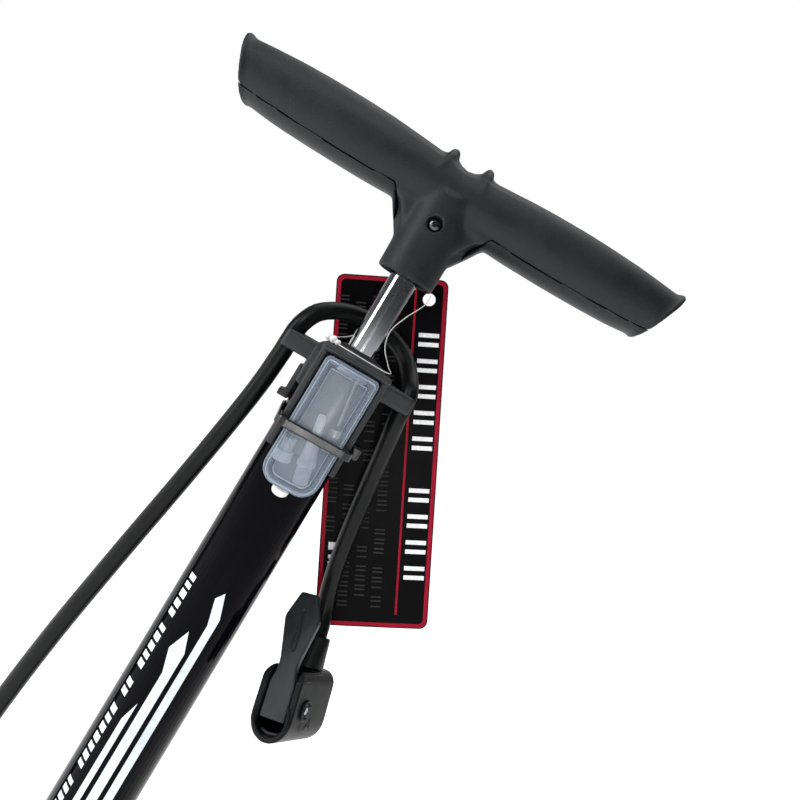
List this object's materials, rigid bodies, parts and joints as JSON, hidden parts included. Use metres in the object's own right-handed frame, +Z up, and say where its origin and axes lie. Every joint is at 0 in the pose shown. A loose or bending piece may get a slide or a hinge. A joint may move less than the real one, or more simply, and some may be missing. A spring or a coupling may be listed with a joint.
{
  "type": "floor bike pump",
  "caption": "Floor pump for bicycle tyres: barrel on a footed base, sliding rod with T-handle, hose to a lever-lock chuck, cap with an adapter box.",
  "frame": {"origin": "on the floor, on the barrel axis", "axes": "+Z up along the barrel, X along the handle, the accessory box faces -Y"},
  "size_m": [0.2552, 0.084, 0.6442],
  "materials": {
    "gloss_black_paint": "gloss black enamel on steel tube",
    "matt_black_plastic": "fine grained matt black moulding",
    "charcoal_plastic": "charcoal moulding, slight sheen",
    "satin_black_plastic": "satin to gloss black",
    "black_rubber": "black rubber",
    "polished_steel": "polished plated steel",
    "zinc_plate": "zinc plated",
    "black_steel": "black oxide screw",
    "clear_plastic": "clear moulded plastic",
    "frosted_plastic": "translucent white plastic",
    "clear_nylon": "clear nylon",
    "printed_card": "black printed card with red border"
  },
  "bodies": {
    "pump_frame": {"foot_base": "matt_black_plastic", "foot_pad_1": "black_rubber", "foot_pad_2": "black_rubber", "foot_pad_3": "black_rubber", "foot_pad_4": "black_rubber", "tread_pad_left": "black_rubber", "tread_pad_right": "black_rubber", "outlet_elbow": "zinc_plate", "outlet_nut": "zinc_plate", "hose_ferrule": "zinc_plate", "valve_seat": "matt_black_plastic", "valve_seat_oring": "black_rubber", "check_spring": "zinc_plate", "barrel_tube": "gloss_black_paint", "top_cap": "matt_black_plastic", "rod_bush": "charcoal_plastic", "rod_wiper": "black_rubber", "strap_tie": "satin_black_plastic", "hose": "black_rubber", "chuck_body": "charcoal_plastic", "chuck_collar": "charcoal_plastic", "chuck_pin": "polished_steel", "schrader_gasket": "black_rubber", "schrader_cap": "satin_black_plastic", "presta_gasket": "black_rubber", "presta_cap": "satin_black_plastic", "tag_loop": "clear_nylon"},
    "piston_ring": {"piston_seal": "black_rubber"},
    "rod_and_handle": {"piston_carrier": "charcoal_plastic", "piston_nut": "zinc_plate", "piston_washer": "zinc_plate", "rod_stud": "zinc_plate", "piston_rod": "polished_steel", "rod_bumper": "black_rubber", "handle_front_shell": "matt_black_plastic", "handle_rear_shell": "matt_black_plastic", "handle_screw": "black_steel"},
    "accessory_box": {"accessory_box": "clear_plastic", "adapter_cone": "frosted_plastic", "adapter_needle": "polished_steel", "adapter_presta": "frosted_plastic"},
    "chuck_lever": {"chuck_lever": "charcoal_plastic"},
    "check_ball": {"check_ball": "polished_steel"},
    "hang_tag": {"hang_tag": "printed_card"}
  },
  "joints": [
    {"name": "rod_slide", "type": "slide", "parent": "pump_frame", "child": "piston_ring", "axis": [0, 0, 1], "range_m": [-0.043, 0.405]},
    {"name": "handle_spin", "type": "hinge", "parent": "piston_ring", "child": "rod_and_handle", "pos_m": [0, 0, 0.6], "axis": [0, 0, 1], "range_deg": [-180, 180]},
    {"name": "box_slide", "type": "slide", "parent": "pump_frame", "child": "accessory_box", "axis": [0, 0, -1], "range_m": [0, 0.026]},
    {"name": "lever_turn", "type": "hinge", "parent": "pump_frame", "child": "chuck_lever", "pos_m": [0.05815, 0.0031, 0.36276], "axis": [0.8359, -0.391, 0.3851], "range_deg": [0, 90]},
    {"name": "ball_lift", "type": "slide", "parent": "pump_frame", "child": "check_ball", "axis": [0, 0, -1], "range_m": [0, 0.0015], "stiffness_N_per_m": 60, "springref_m": -0.002, "deforming": ["check_spring"]},
    {"name": "tag_swing", "type": "hinge", "parent": "pump_frame", "child": "hang_tag", "pos_m": [0.016, 0.0385, 0.5765], "axis": [0, 1, 0], "range_deg": [-20, 27]}
  ]
}
